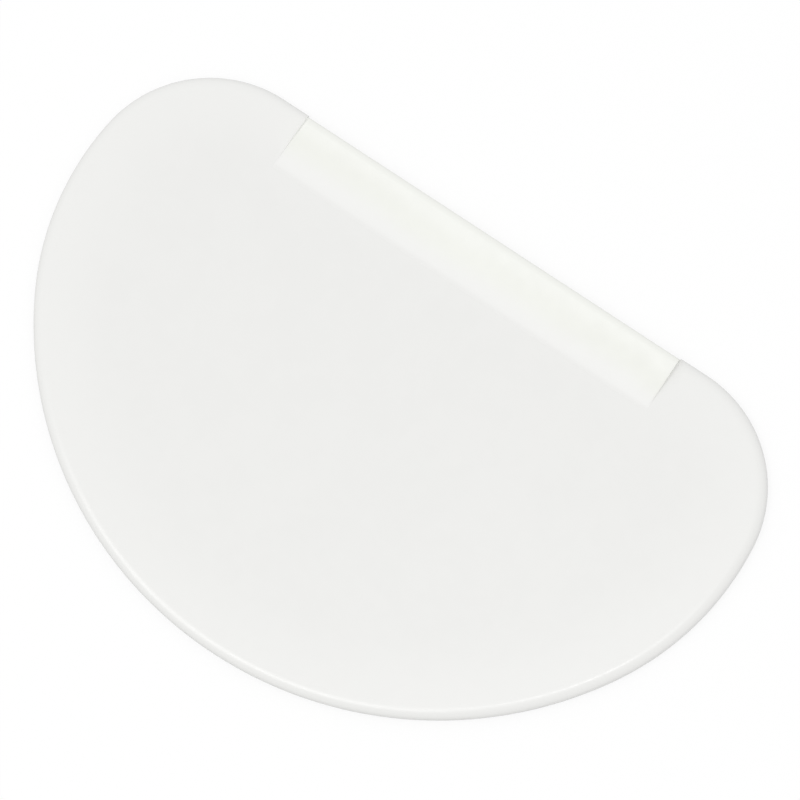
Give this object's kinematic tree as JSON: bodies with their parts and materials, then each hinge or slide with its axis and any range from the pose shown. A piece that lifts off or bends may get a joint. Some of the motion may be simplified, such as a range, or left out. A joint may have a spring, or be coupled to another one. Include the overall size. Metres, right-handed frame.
{
  "type": "pastry scraper",
  "caption": "Half-moon plastic pastry scraper: a flat bean-shaped blade with a rounded rim and a raised wedge grip along its straight edge.",
  "frame": {"origin": "centre of the outline's bounding box, on the flat back face", "axes": "+X along the straight edge, +Y across the blade towards the straight edge and its grip, +Z out of the front face"},
  "size_m": [0.148, 0.096, 0.0045],
  "materials": {
    "blade_plastic": "satin white polypropylene, slightly translucent",
    "grip_plastic": "satin warm white polypropylene"
  },
  "bodies": {
    "root": {"blade": "blade_plastic", "grip": "grip_plastic"}
  },
  "joints": []
}
